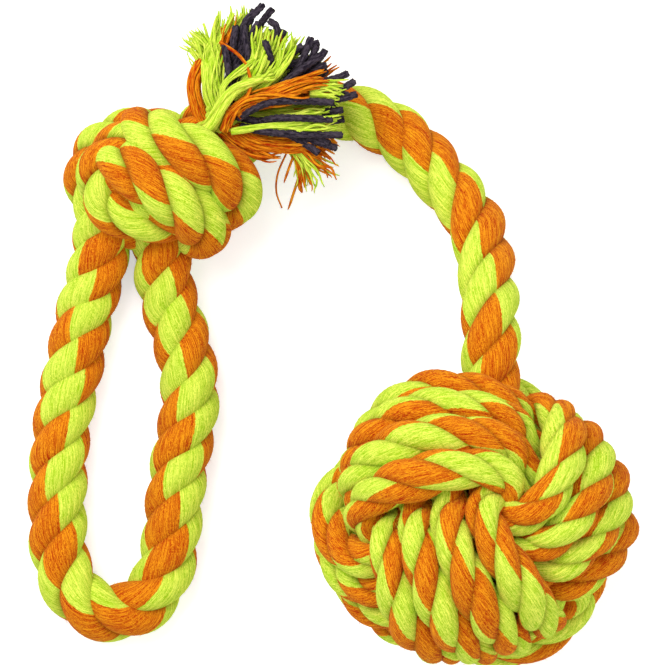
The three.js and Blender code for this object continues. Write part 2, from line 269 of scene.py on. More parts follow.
@dataclass(frozen=True)
class RopeLay:
    """How a rope is laid up from its strands.

    Attributes:
        diameter: Over the whole rope.
        leads: How far a strand runs along the rope in one turn, at even places along the rope.
        strand_share: A strand's radius, as a share of the rope's.
        strands: How many strands there are.
        sides: How many sides a strand's section has.
        spacing: How far apart the rings are along the rope.
        hardness_share: How nearly the yarns run in line with the rope.
        edge_swing: How far the edge between a strand's two colours swings to and fro, as an angle.
        swing_length: How far along a strand one such swing takes.
        fuzz_per_ring: How many loose fibres stand off a strand, for each of its rings.
        fuzz_length: How long such a fibre is.
        fuzz_thickness: How thick it is.
        open_share: How proud a strand has to be for a fibre to stand off it.
    """

    diameter: float = ROPE_DIAMETER
    leads: tuple[float, ...] = (0.037,)
    strand_share: float = 0.55
    strands: int = 3
    sides: int = 28
    spacing: float = 0.001
    hardness_share: float = 0.97
    edge_swing: float = 0.4
    swing_length: float = 0.11
    fuzz_per_ring: float = 2.4
    fuzz_length: float = 0.0017
    fuzz_thickness: float = 0.00009
    open_share: float = 0.8

    def run(
        self,
        shell: Shell,
        line: np.ndarray,
        start_turn: float,
        phases: tuple[float, ...],
        thickness: np.ndarray | None = None,
    ) -> None:
        """Lays a stretch of rope along a line.

        Args:
            shell: Takes the strands.
            line: The middle of the rope, evenly spaced.
            start_turn: How far round the first strand starts.
            phases: Where each strand's two colours meet, as an angle.
            thickness: The rope's diameter at each point, where it isn't the same all along.
        """
        radius = (np.full(len(line), self.diameter) if thickness is None else thickness) / 2
        strand_radius = radius * self.strand_share
        first, second = carried_frames(line)
        share = np.linspace(0, 1, len(line))
        lead = np.interp(share, np.linspace(0, 1, len(self.leads)), self.leads)
        pace = WHOLE_TURN / (lead * 2 * radius / self.diameter)
        turn = np.cumsum((pace[1:] + pace[:-1]) / 2 * np.diff(travelled(line)))
        section = np.linspace(0, WHOLE_TURN, self.sides, endpoint=False)
        for strand in range(self.strands):
            third = strand * WHOLE_TURN / self.strands
            angle = start_turn + np.concatenate([[0.0], turn]) + third
            outward = np.cos(angle)[:, None] * first + np.sin(angle)[:, None] * second
            centres = line + outward * (radius - strand_radius)[:, None]
            heading = unit(np.gradient(centres, axis=0))
            out = unit(outward - heading * np.sum(outward * heading, axis=1, keepdims=True))
            length = travelled(centres)
            yarn_pace = self.hardness_share * pace / self.strand_share
            twist = np.concatenate([[0.0], np.cumsum(yarn_pace[1:] * np.diff(length))]) + phases[strand]
            twist += self.edge_swing * np.sin(WHOLE_TURN * length / self.swing_length + third)
            around = spokes(out, np.cross(heading, out), section)
            rings = centres[:, None] + around * strand_radius[:, None, None]
            yarn = strand_places(section + twist[:, None], strand_radius, length + strand)
            height = np.linalg.norm(rings - line[:, None], axis=2) / radius[:, None]
            shell.add_tube(rings, yarn, height)
            self.fuzz(shell, rings, yarn, height, around, strand + len(line))

    def fuzz(
        self,
        shell: Shell,
        rings: np.ndarray,
        yarn: np.ndarray,
        height: np.ndarray,
        around: np.ndarray,
        seed: int,
    ) -> None:
        """Stands loose fibres off a strand, where it is proud of the creases.

        Args:
            shell: Takes the fibres.
            rings: The strand's corners, ring by ring.
            yarn: The strand coordinates of each corner.
            height: How proud each corner is.
            around: The outward direction at each corner.
            seed: Seeds the choice of corners.
        """
        draw = np.random.default_rng(seed)
        length_shares, across_lean, rise_share, rise_power = (0.35, 1.2), 0.7, 0.55, 1.3
        grown = np.array([0.0, 0.45, 0.8, 1.0])[:, None]
        radii = self.fuzz_thickness / 2 * np.array(FIBRE_TAPER_SHARES)[:, None, None]
        section = np.linspace(0, WHOLE_TURN, FIBRE_SIDES, endpoint=False)
        for _ in range(int(self.fuzz_per_ring * len(rings))):
            ring = draw.integers(1, len(rings) - 2)
            side = draw.integers(0, self.sides)
            if height[ring, side] < self.open_share:
                continue
            out = around[ring, side]
            run = unit(rings[ring + 1, side] - rings[ring - 1, side])
            length = self.fuzz_length * draw.uniform(*length_shares)
            lean = run * draw.uniform(-1, 1) + np.cross(run, out) * draw.uniform(-across_lean, across_lean)
            path = rings[ring, side] + length * (out * rise_share * grown**rise_power + lean * grown)
            fibre = path[:, None] + spokes(*carried_frames(path), section) * radii
            same = np.broadcast_to(yarn[ring, side], fibre.shape)
            shell.add_tube(fibre, same, np.ones(fibre.shape[:2]))


@dataclass
class Wiring:
    """Adds shader nodes to a node tree and feeds them.

    Attributes:
        tree: The node tree.
    """

    tree: bpy.types.NodeTree

    def feed(self, node: bpy.types.Node, given: dict[str | int, object]) -> None:
        """Sets or links the inputs of a node.

        Args:
            node: The node.
            given: For each input's name or number, its value or the output that feeds it.
        """
        for name, value in given.items():
            if isinstance(value, Socket):
                self.tree.links.new(value, node.inputs[name])
            else:
                node.inputs[name].default_value = value

    def node(self, kind: str, given: dict[str | int, object], **settings: object) -> bpy.types.Node:
        """Adds a node.

        Args:
            kind: What its type is called after the words ShaderNode.
            given: What its inputs are fed with.
            settings: Its own settings.

        Returns:
            The node.
        """
        node = self.tree.nodes.new(f"ShaderNode{kind}")
        for name, value in settings.items():
            setattr(node, name, value)
        self.feed(node, given)
        return node

    def value(self, kind: str, given: dict[str | int, object], **settings: object) -> Socket:
        """Adds a node as above, and gives its first output."""
        return self.node(kind, given, **settings).outputs[0]

    def mixed(self, share: Socket | float, first: object, second: object, blend: str = "MIX") -> Socket:
        """Mixes two colours.

        Args:
            share: How much of the second there is.
            first: The first colour.
            second: The second colour.
            blend: How they mix.

        Returns:
            The output with the mix.
        """
        given = {"Factor": share, "A": first, "B": second}
        return self.node("Mix", given, data_type="RGBA", blend_type=blend).outputs["Result"]

    def spread(self, value: Socket, levels: tuple[float, float], curve: str = "LINEAR") -> Socket:
        """Spreads the values between two levels over 0 to 1.

        Args:
            value: The output to spread.
            levels: The level that becomes 0 and the one that becomes 1.
            curve: How it goes from one to the other.

        Returns:
            The output with the spread value.
        """
        given = {"Value": value, "From Min": levels[0], "From Max": levels[1]}
        return self.value("MapRange", given, interpolation_type=curve)


def fibre_effect() -> bpy.types.NodeTree:
    """Builds the fine streaks of cotton fibre that run along a yarn.

    Returns:
        The group: a tone and a height that change over the surface.
    """
    known = bpy.data.node_groups.get(FIBRES)
    if known:
        return known
    group = bpy.data.node_groups.new(FIBRES, "ShaderNodeTree")
    for name, kind in {"Yarn": "Vector", "Width": "Float", "Length": "Float"}.items():
        group.interface.new_socket(name, in_out="INPUT", socket_type=f"NodeSocket{kind}")
    for name in ("Tone", "Height"):
        group.interface.new_socket(name, in_out="OUTPUT", socket_type="NodeSocketFloat")
    wiring = Wiring(group)
    given = group.nodes.new("NodeGroupInput").outputs
    size = wiring.value("CombineXYZ", {"X": given["Width"], "Y": given["Width"], "Z": given["Length"]})
    place = wiring.value("VectorMath", {0: given["Yarn"], 1: size}, operation="DIVIDE")
    fine = wiring.value("TexNoise", {"Vector": place, "Scale": 1.0, "Detail": 3.0, "Roughness": 0.65})
    broad = wiring.value("TexNoise", {"Vector": place, "Scale": 0.3, "Detail": 1.0})
    tone = wiring.value("Mix", {"Factor": 0.22, "A": fine, "B": broad})
    wiring.feed(group.nodes.new("NodeGroupOutput"), {"Tone": tone, "Height": fine})
    return group


@dataclass(frozen=True)
class Dye:
    """One dyed cotton.

    Attributes:
        deep: Its colour between the fibres.
        bright: Its colour on the fibres.
    """

    deep: tuple[float, float, float]
    bright: tuple[float, float, float]


ORANGE = Dye(deep=(0.43, 0.008, 0.0005), bright=(0.965, 0.386, 0.011))
LIME = Dye(deep=(0.31, 0.56, 0.001), bright=(0.94, 1.0, 0.14))
DARK = Dye(deep=(0.012, 0.009, 0.016), bright=(0.075, 0.058, 0.078))
UNDYED = Dye(deep=(0.42, 0.38, 0.30), bright=(0.72, 0.68, 0.58))


@dataclass(frozen=True)
class CottonFinish:
    """A matte cotton finish of one dye, or of two that meet along a strand, with shade painted into the
    creases between strands.

    Attributes:
        name: The material's name.
        dye: The first dye.
        second_dye: The dye of the other half of each strand, if there is one.
        fibre_width: How wide a streak of fibres is.
        fibre_length: How long a streak of fibres is.
        relief: How deep the fibres' relief is.
        tone_range: The fibre tones that become the deep and the bright dye.
        painted_shade_range: How proud a place in a crease is, and one that is clear of it; the painted
            shade fades out between them.
        painted_crease_shade: The painted crease shade: what a crease keeps of the light on it, multiplied
            into the colour.
        ragged: How far the edge between two dyes wanders.
        soft: How soft that edge is.
    """

    name: str
    dye: Dye
    second_dye: Dye | None = None
    fibre_width: float = 0.0002
    fibre_length: float = 0.0026
    relief: float = 0.0004
    tone_range: tuple[float, float] = (0.40, 0.61)
    painted_shade_range: tuple[float, float] = (0.58, 0.93)
    painted_crease_shade: tuple[float, float, float] = (0.28, 0.22, 0.04)
    ragged: float = 0.0009
    soft: float = 0.0001

    def material(self) -> bpy.types.Material:
        """Makes the material, or finds it if it is there already.

        Returns:
            The material.
        """
        known = bpy.data.materials.get(self.name)
        if known:
            return known
        material = bpy.data.materials.new(self.name)
        material.use_nodes = True
        wiring = Wiring(material.node_tree)
        yarn = wiring.node("Attribute", {}, attribute_name=YARN_ATTRIBUTE).outputs["Vector"]
        proud = wiring.node("Attribute", {}, attribute_name=PROUD_ATTRIBUTE).outputs["Fac"]
        size = {"Yarn": yarn, "Width": self.fibre_width, "Length": self.fibre_length}
        fibres = wiring.node("Group", size, node_tree=fibre_effect()).outputs
        tone = wiring.spread(fibres["Tone"], self.tone_range)
        colour = wiring.mixed(tone, (*self.dye.deep, 1), (*self.dye.bright, 1))
        if self.second_dye:
            other = wiring.mixed(tone, (*self.second_dye.deep, 1), (*self.second_dye.bright, 1))
            colour = wiring.mixed(self._half(wiring, yarn), colour, other)
        # Painted shade: the colour is darkened in the creases between strands, where the proud attribute
        # is low.
        lit = wiring.spread(proud, self.painted_shade_range, "SMOOTHSTEP")
        shade = wiring.mixed(lit, (*self.painted_crease_shade, 1), WHITE)
        relief = {"Height": fibres["Height"], "Strength": 0.75, "Distance": self.relief}
        surface = {
            "Base Color": wiring.mixed(1.0, colour, shade, "MULTIPLY"),
            "Normal": wiring.value("Bump", relief),
            "Roughness": 0.92,
            "Specular IOR Level": 0.05,
            "Sheen Weight": 0.02,
            "Sheen Roughness": 0.5,
        }
        wiring.feed(material.node_tree.nodes["Principled BSDF"], surface)
        return material

    def _half(self, wiring: Wiring, yarn: Socket) -> Socket:
        """Tells one half of a strand from the other, with an edge that wanders a little.

        Args:
            wiring: Adds the material's nodes.
            yarn: The output with the strand coordinates.

        Returns:
            The output that is 0 on the first half and 1 on the second.
        """
        wander = wiring.value("TexNoise", {"Vector": yarn, "Scale": 1400.0})
        edge = {0: wander, 1: self.ragged, 2: -self.ragged / 2}
        offset = wiring.value("Math", edge, operation="MULTIPLY_ADD")
        across = wiring.node("SeparateXYZ", {"Vector": yarn}).outputs["Y"]
        return wiring.spread(wiring.value("Math", {0: across, 1: offset}), (-self.soft, self.soft))


TWO_TONE = CottonFinish("two_tone_cotton", ORANGE, LIME)
ORANGE_YARN = CottonFinish("orange_cotton_yarn", ORANGE, fibre_width=0.00025, fibre_length=0.003)
LIME_YARN = CottonFinish("lime_cotton_yarn", LIME, fibre_width=0.00025, fibre_length=0.003)
DARK_CORD = CottonFinish("dark_filler_cord", DARK, fibre_width=0.0005, fibre_length=0.0016)
PACKED_FIBRE = CottonFinish("packed_fibre", UNDYED, fibre_width=0.0008, fibre_length=0.004)
YARN_FINISHES = {"orange": ORANGE_YARN, "lime": LIME_YARN}


@dataclass(frozen=True)
class Lamp:
    """A soft square lamp that faces the toy.

    Attributes:
        name: Its name.
        place: Where it hangs.
        width: How wide it is.
        power: Its power in watts.
    """

    name: str
    place: Point
    width: float
    power: float

    def hang(self) -> None:
        """Hangs the lamp."""
        data = bpy.data.lights.new(self.name, "AREA")
        data.size = self.width
        data.energy = self.power
        lamp = bpy.data.objects.new(self.name, data)
        lamp.location = self.place
        east, north, up = self.place
        lean = math.atan2(math.hypot(east, north), up)
        lamp.rotation_euler = (lean, 0, math.atan2(-east, north) + math.pi)
        bpy.context.scene.collection.objects.link(lamp)


@dataclass
class Studio:
    """The floor, the lamps and the camera.

    Attributes:
        camera_height: How far above the floor the camera is.
        view_span: The width of what it sees at the toy's middle height.
        sensor: The camera's sensor width, in millimetres.
        toy_middle: The height at which the view's width is measured.
        view_centre_y: How far along Y the view's centre is.
        far_clip: How far the camera sees.
        sky_strength: How strong the even light from all round is.
        lamps: The lamp at the upper left and the weaker one at the lower right.
        floor_half: Half the floor's width.
        floor_drop: How far the floor lies under the toy.
        floor_tone: How light the floor is.
        floor_glow: How much the camera's view of the floor is lifted to white.
    """

    camera_height: float = 2.4
    view_span: float = 0.2128
    sensor: float = 36.0
    toy_middle: float = 0.02
    view_centre_y: float = -0.0001
    far_clip: float = 20.0
    sky_strength: float = 0.68
    lamps: tuple[Lamp, ...] = (
        Lamp("key_lamp", (-0.5, 0.6, 1.1), 0.9, 14.0),
        Lamp("fill_lamp", (0.8, -0.4, 0.9), 1.2, 3.5),
    )
    floor_half: float = 1.5
    floor_drop: float = 0.0003
    floor_tone: float = 0.82
    floor_glow: float = 0.5

    def camera(self) -> None:
        """Hangs the camera straight above the toy, as the photograph was taken."""
        data = bpy.data.cameras.new("camera")
        data.sensor_width = self.sensor
        data.lens = self.sensor * (self.camera_height - self.toy_middle) / self.view_span
        data.clip_end = self.far_clip
        camera = bpy.data.objects.new("camera", data)
        camera.location = (0, self.view_centre_y, self.camera_height)
        bpy.context.scene.collection.objects.link(camera)
        bpy.context.scene.camera = camera

    def world(self) -> None:
        """Fills the surroundings with an even pale light, white to the camera."""
        world = bpy.data.worlds.new("studio")
        bpy.context.scene.world = world
        world.use_nodes = True
        wiring = Wiring(world.node_tree)
        soft = world.node_tree.nodes["Background"]
        wiring.feed(soft, {"Color": WHITE, "Strength": self.sky_strength})
        white = wiring.value("Background", {"Color": WHITE, "Strength": 1.0})
        chosen = self._seen(wiring, soft.outputs[0], white)
        wiring.feed(world.node_tree.nodes["World Output"], {"Surface": chosen})

    def floor(self) -> None:
        """Lays the pale floor, white to the camera apart from the toy's shadow."""
        half = self.floor_half
        mesh = bpy.data.meshes.new("floor")
        corners = [(-half, -half, 0), (half, -half, 0), (half, half, 0), (-half, half, 0)]
        mesh.from_pydata(corners, [], [(0, 1, 2, 3)])
        floor = bpy.data.objects.new("floor", mesh)
        floor.location.z = -self.floor_drop
        bpy.context.scene.collection.objects.link(floor)
        material = bpy.data.materials.new("pale_floor")
        material.use_nodes = True
        wiring = Wiring(material.node_tree)
        matt = material.node_tree.nodes["Principled BSDF"]
        tone = self.floor_tone
        wiring.feed(matt, {"Base Color": (tone, tone, tone, 1), "Roughness": 0.9})
        glow = wiring.value("Emission", {"Color": WHITE, "Strength": self.floor_glow})
        lit = wiring.value("AddShader", {0: matt.outputs[0], 1: glow})
        chosen = self._seen(wiring, matt.outputs[0], lit)
        wiring.feed(material.node_tree.nodes["Material Output"], {"Surface": chosen})
        mesh.materials.append(material)

    def _seen(self, wiring: Wiring, unseen: Socket, seen: Socket) -> Socket:
        """Chooses one shader for what the camera, mirrors and glass see, and another for the rest.

        Args:
            wiring: Adds the nodes.
            unseen: The shader for light that only falls on things.
            seen: The shader for what is seen.

        Returns:
            The output with the choice.
        """
        rays = wiring.node("LightPath", {}).outputs
        any_of = rays["Is Camera Ray"]
        for kind in ("Is Glossy Ray", "Is Transmission Ray"):
            any_of = wiring.value("Math", {0: any_of, 1: rays[kind]}, operation="MAXIMUM")
        return wiring.value("MixShader", {"Fac": any_of, 1: unseen, 2: seen})

    def build(self) -> None:
        """Sets up the whole studio."""
        self.camera()
        self.world()
        self.floor()
        for lamp in self.lamps:
            lamp.hang()
        bpy.context.scene.view_settings.view_transform = "Standard"


@dataclass(frozen=True)
class RopeRun:
    """One stretch of the toy's rope that has a solid.

    Attributes:
        node: The solid that it dresses.
        lay: How its rope is laid.
        start_turn: How far round its first strand starts.
        phases: Where each strand's two colours meet, as an angle.
        route: Its middle line.
    """

    node: str
    lay: RopeLay
    start_turn: float
    phases: tuple[float, ...]
    route: Route

    def lay_rope(self, name: str) -> tuple[bpy.types.Object, np.ndarray]:
        """Lays the rope along its route.

        Args:
            name: The piece's name.

        Returns:
            The piece, and the rope's middle line.
        """
        line = evenly(rounded_line(self.route), self.lay.spacing)
        shell = Shell()
        self.lay.run(shell, line, self.start_turn, self.phases)
        piece = shell.build(name, TWO_TONE.material())
        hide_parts(self.node)
        return piece, line


@dataclass(frozen=True)
class FreeRope(RopeRun):
    """A free stretch of rope, which leaves the knot.

    Attributes:
        name: The piece's name.
        body: The body that it would bend with; not used.
        bend_start: Where it would begin to bend; not used.
        bend_end: Where it would move all the way with that body; not used.
    """

    name: str
    body: str
    bend_start: Point
    bend_end: Point

    def build(self) -> None:
        piece, line = self.lay_rope(self.name)
        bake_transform(piece)


@dataclass(frozen=True)
class HandLoop(FreeRope):
    """The bight of rope that the hand goes through, from the knot round and back."""

    node: str = "handle_loop"
    lay: RopeLay = RopeLay(
        diameter=0.0194, leads=(0.035, 0.038, 0.043, 0.037, 0.036), hardness_share=1.006
    )
    start_turn: float = 1.9
    phases: tuple[float, ...] = (2.1, 5.8, 6.0)
    route: Route = (
        (-0.0722, 0.0400, 0.0120), (-0.0736, 0.0330, 0.0112), (-0.0746, 0.0266, 0.0102),
        (-0.0756, 0.0205, 0.0092),
        *resting(
            (-0.0786, 0.0102), (-0.0811, 0.0000), (-0.0827, -0.0090), (-0.0850, -0.0192),
            (-0.0869, -0.0294), (-0.0879, -0.0397), (-0.0884, -0.0499), (-0.0885, -0.0602),
            (-0.0880, -0.0696), (-0.0860, -0.0781), (-0.0819, -0.0851), (-0.0752, -0.0896),
            (-0.0676, -0.0902), (-0.0608, -0.0870), (-0.0558, -0.0808), (-0.0530, -0.0730),
            (-0.0517, -0.0640), (-0.0507, -0.0538), (-0.0494, -0.0435), (-0.0475, -0.0339),
            (-0.0460, -0.0237), (-0.0462, -0.0141), (-0.0478, -0.0058), (-0.0504, 0.0032),
            (-0.0530, 0.0115),
        ),
        (-0.0546, 0.0200, 0.0092), (-0.0550, 0.0266, 0.0102), (-0.0556, 0.0330, 0.0112),
        (-0.0566, 0.0400, 0.0120),
    )
    name: str = "hand_loop_rope"
    body: str = "handle"
    bend_start: Point = (-0.0648, 0.0240, REST_HEIGHT)
    bend_end: Point = (-0.0648, -0.0150, REST_HEIGHT)


@dataclass(frozen=True)
class ThrowRope(FreeRope):
    """The rope from inside the knot round to under the ball's first pass."""

    node: str = "throw_rope"
    lay: RopeLay = RopeLay(diameter=0.0192, leads=(0.040, 0.036, 0.050, 0.036), hardness_share=0.96)
    start_turn: float = 0.0
    phases: tuple[float, ...] = (4.3, 0.4, 1.3)
    route: Route = (
        (-0.0400, 0.0570, 0.0095),
        *resting(
            (-0.0330, 0.0610), (-0.0275, 0.0643), (-0.0208, 0.0675), (-0.0126, 0.0702),
            (-0.0034, 0.0716), (0.0056, 0.0709), (0.0139, 0.0678), (0.0220, 0.0629),
        ),
        (0.0294, 0.0561, 0.0094), (0.0364, 0.0478, 0.0126), (0.0431, 0.0396, 0.0178),
        (0.0473, 0.0305, 0.0246), (0.0489, 0.0212, 0.0320), (0.0498, 0.0118, 0.0390),
        (0.0502, 0.0030, 0.0440), (0.0502, -0.0052, 0.0458), (0.0500, -0.0127, 0.0460),
        (0.0497, -0.0220, 0.0455),
    )
    name: str = "throwing_rope"
    body: str = "ball"
    bend_start: Point = (-0.0100, 0.0700, REST_HEIGHT)
    bend_end: Point = (0.0500, 0.0250, REST_HEIGHT)


@dataclass
class MonkeysFist:
    """The ball: three bands of rope wound over one another, with the filling that they hold.

    Attributes:
        centre: The ball's centre.
        shape_shares: How wide the ball is along each axis, against a round one.
        loops: How many passes a band has.
        pitch: From one pass to the next.
        outer_radius: The middle of a pass where its band stands proud.
        inner_radius: The middle of a pass where its band is sunk.
        rope: How the rope is laid in the ball.
        waist: The rope's diameter where the bands meet.
        draw_in_share: How much closer the passes lie where the bands meet.
        level_share: How level a pass runs between two corners.
        waist_share: How soon the rope narrows towards a corner.
        step_over_share: The part of a loop in which it steps over to the next place.
        end_share: How far a band's ends lie from under the next band, as a share of the step over.
        corner_lean: How far the nearest corner of three bands leans from straight up.
        corner_heading: Which way that corner leans.
        first_heading: Which way the first band lies from that corner.
        samples: How finely a winding is worked out.
        easings: How many times the winding's corners are eased.
        core_radius: The radius of what the ball is wound round.
        filling: How the rope inside is laid.
        filling_turns: How often it goes round.
        filling_phases: How far round each of its strands is turned, as an angle.
        filling_samples: How finely it is worked out.
        cap_share: The part of the way down the core, at each end, where the filling has no turn.
        names: The bands, in the order of their headings.
        start_turns: How far round each band's first strand starts.
        phases: Where each strand's two colours meet in each band, as an angle.
    """

    centre: Point = (0.0446, -0.0593, 0.0458)
    shape_shares: tuple[float, float, float] = (1.006, 0.968, 0.965)
    loops: int = 4
    pitch: float = 0.013
    outer_radius: float = 0.0446
    inner_radius: float = 0.0312
    rope: RopeLay = RopeLay(diameter=0.0158, leads=(0.048,), strand_share=0.60, sides=22, spacing=0.0014)
    waist: float = 0.0122
    draw_in_share: float = 0.157
    level_share: float = 0.4
    waist_share: float = 0.5
    step_over_share: float = 1 / 6
    end_share: float = 0.25
    corner_lean: float = math.radians(16.9)
    corner_heading: float = math.radians(35.2)
    first_heading: float = math.radians(135)
    samples: int = 2400
    easings: int = 5
    core_radius: float = 0.0245
    filling: RopeLay = RopeLay(diameter=0.0100, leads=(0.026,), sides=12, spacing=0.002)
    filling_turns: int = 7
    filling_phases: tuple[float, ...] = (0.0, 1.0, 2.0)
    filling_samples: int = 700
    cap_share: float = 0.06
    names: tuple[str, ...] = ("upper_left", "right", "bottom")
    start_turns: tuple[float, ...] = (5.13, 5.80, 0.48)
    phases: tuple[tuple[float, ...], ...] = (
        (5.17, 4.66, 3.19),
        (5.55, 1.37, 4.86),
        (3.11, 5.05, 0.70),
    )

    def directions(self) -> list[np.ndarray]:
        """Finds the three directions in which the bands stand proud.

        Returns:
            One direction for each band, each square to the others.
        """
        lean, heading = self.corner_lean, self.corner_heading
        level = math.sin(lean)
        corner = np.array([level * math.cos(heading), level * math.sin(heading), math.cos(lean)])
        right = unit(np.array([1.0, 0.0, 0.0]) - corner * corner[0])
        away = np.cross(corner, right)
        found = []
        for band in range(3):
            turn = self.first_heading - band * WHOLE_TURN / 3
            outward = math.cos(turn) * right + math.sin(turn) * away
            found.append(corner / math.sqrt(3) + outward * math.sqrt(2 / 3))
        return found

    def winding(
        self, proud: np.ndarray, sunk: np.ndarray, across: np.ndarray
    ) -> tuple[np.ndarray, np.ndarray]:
        """Winds one band.

        Args:
            proud: The direction in which the band stands proud.
            sunk: The direction in which it dips under another band.
            across: The direction across its passes.

        Returns:
            The middle of the rope, and the rope's diameter along it.
        """
        first = self.step_over_share * self.end_share
        loop = np.linspace(first, self.loops - first, self.samples)
        angle = math.pi / 2 + WHOLE_TURN * loop
        whole = np.round(loop)
        held = np.clip((loop - whole) / self.step_over_share + 0.5, 0, 1)
        place = np.clip(whole - 1 + held**2 * (3 - 2 * held), 0, self.loops - 1)
        corner = (1 - np.cos(4 * angle)) / 2
        level = np.cos(2 * angle)
        middle = (self.outer_radius + self.inner_radius) / 2
        swing = (self.outer_radius - self.inner_radius) / 2
        turn_radius = middle + swing * np.sign(level) * np.abs(level) ** self.level_share
        offset = ((self.loops - 1) / 2 - place) * self.pitch * (1 - self.draw_in_share * corner)
        reach = np.sqrt(turn_radius**2 - offset**2)
        line = (
            np.outer(reach * np.cos(angle), proud)
            + np.outer(reach * np.sin(angle), sunk)
            + np.outer(offset, across)
        )
        thickness = self.rope.diameter - (self.rope.diameter - self.waist) * corner**self.waist_share
        even = evenly(line, self.rope.spacing)
        places = np.linspace(0, 1, len(even))
        along = travelled(line)
        return eased(even, self.easings), np.interp(places, along / along[-1], thickness)

    def build(self) -> None:
        """Winds the three bands and fills the ball."""
        directions = self.directions()
        for band, name in enumerate(self.names):
            proud, sunk, across = (directions[(band + step) % 3] for step in range(3))
            line, thickness = self.winding(proud, sunk, across)
            line = line * self.shape_shares + self.centre
            shell = Shell()
            self.rope.run(shell, line, self.start_turns[band], self.phases[band], thickness)
            piece = shell.build(f"ball_passes_{name}", TWO_TONE.material())
            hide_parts(f"ball_band_{name}")
            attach(piece, "ball")
        self.fill()

    def fill(self) -> None:
        """Winds the rope inside the ball that the bands hold."""
        share = np.linspace(self.cap_share, 1 - self.cap_share, self.filling_samples)
        height = np.cos(math.pi * share)
        turn = self.filling_turns * WHOLE_TURN * share
        radius = self.core_radius - self.filling.diameter / 2
        around = np.sqrt(1 - height**2)
        line = radius * np.column_stack([around * np.cos(turn), around * np.sin(turn), height])
        shell = Shell()
        line = evenly(line + self.centre, self.filling.spacing)
        self.filling.run(shell, line, 0.0, self.filling_phases)
        piece = shell.build("ball_filling", PACKED_FIBRE.material())
        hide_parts("ball_core")
        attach(piece, "ball")


KNOT_PASSES = (
    RopeRun(
        "knot_front_upper",
        RopeLay(diameter=0.0190, leads=(0.036, 0.050), hardness_share=1.0, edge_swing=0.0),
        4.7,
        (5.3, 5.0, 0.0),
        (
            (-0.0560, 0.0570, 0.0160), (-0.0605, 0.0612, 0.0215), (-0.0598, 0.0632, 0.0290),
            (-0.0550, 0.0612, 0.0348), (-0.0490, 0.0584, 0.0378), (-0.0425, 0.0556, 0.0374),
            (-0.0360, 0.0515, 0.0340), (-0.0318, 0.0470, 0.0275), (-0.0312, 0.0436, 0.0185),
            (-0.0365, 0.0410, 0.0100), (-0.0440, 0.0410, 0.0085), (-0.0520, 0.0470, 0.0090),
            (-0.0600, 0.0540, 0.0100),
        ),
    ),
    RopeRun(
        "knot_front_lower",
        RopeLay(diameter=0.0180, leads=(0.034, 0.046), hardness_share=0.95, edge_swing=0.0),
        0.6,
        (1.7, 0.0, 1.4),
        (
            (-0.0640, 0.0490, 0.0180), (-0.0690, 0.0530, 0.0270), (-0.0650, 0.0524, 0.0345),
            (-0.0585, 0.0484, 0.0374), (-0.0500, 0.0422, 0.0366), (-0.0436, 0.0366, 0.0305),
            (-0.0410, 0.0325, 0.0215), (-0.0435, 0.0320, 0.0120), (-0.0500, 0.0360, 0.0085),
            (-0.0570, 0.0400, 0.0090),
        ),
    ),
    RopeRun(
        "knot_side_outer",
        RopeLay(diameter=0.0166, leads=(0.040, 0.032), hardness_share=1.225, edge_swing=0.0),
        1.35,
        (5.7, 2.1, 3.7),
        (
            (-0.0420, 0.0380, 0.0130), (-0.0526, 0.0346, 0.0110), (-0.0648, 0.0346, 0.0110),
            (-0.0734, 0.0378, 0.0110), (-0.0776, 0.0450, 0.0115), (-0.0780, 0.0516, 0.0125),
            (-0.0752, 0.0580, 0.0145), (-0.0690, 0.0625, 0.0165), (-0.0615, 0.0642, 0.0175),
            (-0.0540, 0.0632, 0.0165), (-0.0450, 0.0590, 0.0130),
        ),
    ),
    RopeRun(
        "knot_side_inner",
        RopeLay(diameter=0.0166, leads=(0.044, 0.036), hardness_share=1.0, edge_swing=0.0),
        1.5,
        (3.9, 3.2, 3.8),
        (
            (-0.0480, 0.0370, 0.0250), (-0.0576, 0.0366, 0.0250), (-0.0660, 0.0374, 0.0250),
            (-0.0720, 0.0418, 0.0250), (-0.0738, 0.0480, 0.0258), (-0.0728, 0.0540, 0.0270),
            (-0.0690, 0.0582, 0.0280), (-0.0635, 0.0598, 0.0275), (-0.0575, 0.0590, 0.0250),
            (-0.0520, 0.0565, 0.0200),
        ),
    ),
    RopeRun(
        "tail_rope",
        RopeLay(diameter=0.0136, leads=(0.036,)),
        3.6,
        (0.4, 1.9, 3.0),
        (
            (-0.0540, 0.0560, 0.0200), (-0.0478, 0.0618, 0.0238), (-0.0454, 0.0642, 0.0247),
            (-0.0433, 0.0663, 0.0255), (-0.0385, 0.0685, 0.0263),
        ),
    ),
    RopeRun(
        "knot_heart",
        RopeLay(diameter=0.0166, leads=(0.036,)),
        4.5,
        (0.9, 1.7, 2.4),
        (
            (-0.0660, 0.0420, 0.0150), (-0.0600, 0.0560, 0.0250), (-0.0480, 0.0580, 0.0160),
            (-0.0430, 0.0480, 0.0260), (-0.0500, 0.0400, 0.0180), (-0.0600, 0.0440, 0.0270),
            (-0.0560, 0.0520, 0.0140),
        ),
    ),
)


@dataclass
class Knot:
    """The knot: its passes that show, and the ones pressed together beneath them.

    Attributes:
        passes: The knot's passes of rope.
    """

    passes: tuple[RopeRun, ...] = KNOT_PASSES

    def build(self) -> None:
        """Lays each pass of the knot."""
        for one in self.passes:
            piece, _ = one.lay_rope(f"{one.node}_rope")
            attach(piece, "knot")


